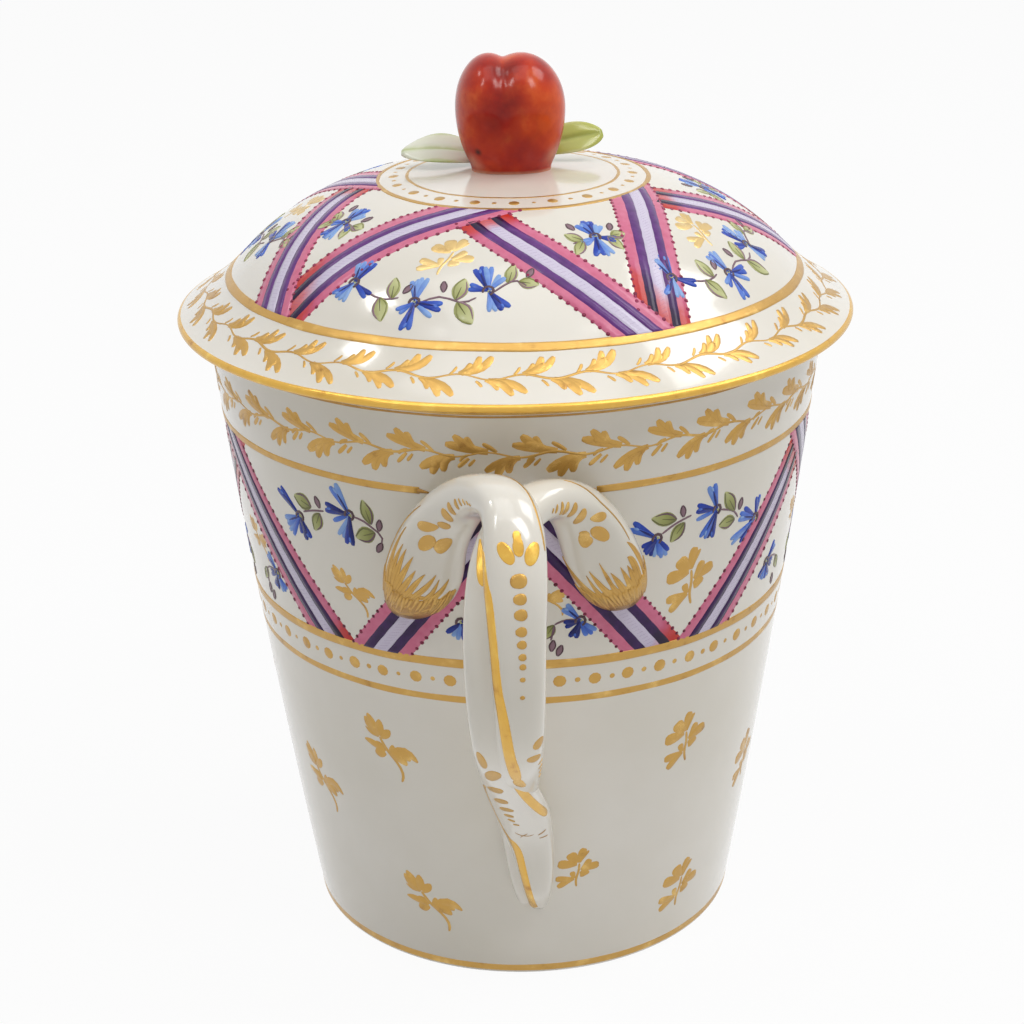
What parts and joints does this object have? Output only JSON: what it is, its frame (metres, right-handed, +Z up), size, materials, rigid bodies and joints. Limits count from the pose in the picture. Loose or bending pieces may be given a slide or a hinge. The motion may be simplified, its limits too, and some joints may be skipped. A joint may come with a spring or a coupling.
{
  "type": "covered chocolate cup",
  "caption": "tapering porcelain beaker with a looped handle of two crossing straps and a domed cover with a fruit knob",
  "frame": {"origin": "the middle of the foot ring's resting plane, on the axis of the beaker", "axes": "+Z up along the beaker's axis, -Y from the axis to the handle, +X to the right as the handle faces the viewer"},
  "size_m": [0.095, 0.1139, 0.1263],
  "materials": {
    "porcelain": "gloss"
  },
  "bodies": {
    "root": {"cup": "porcelain", "cover": "porcelain"}
  },
  "joints": []
}
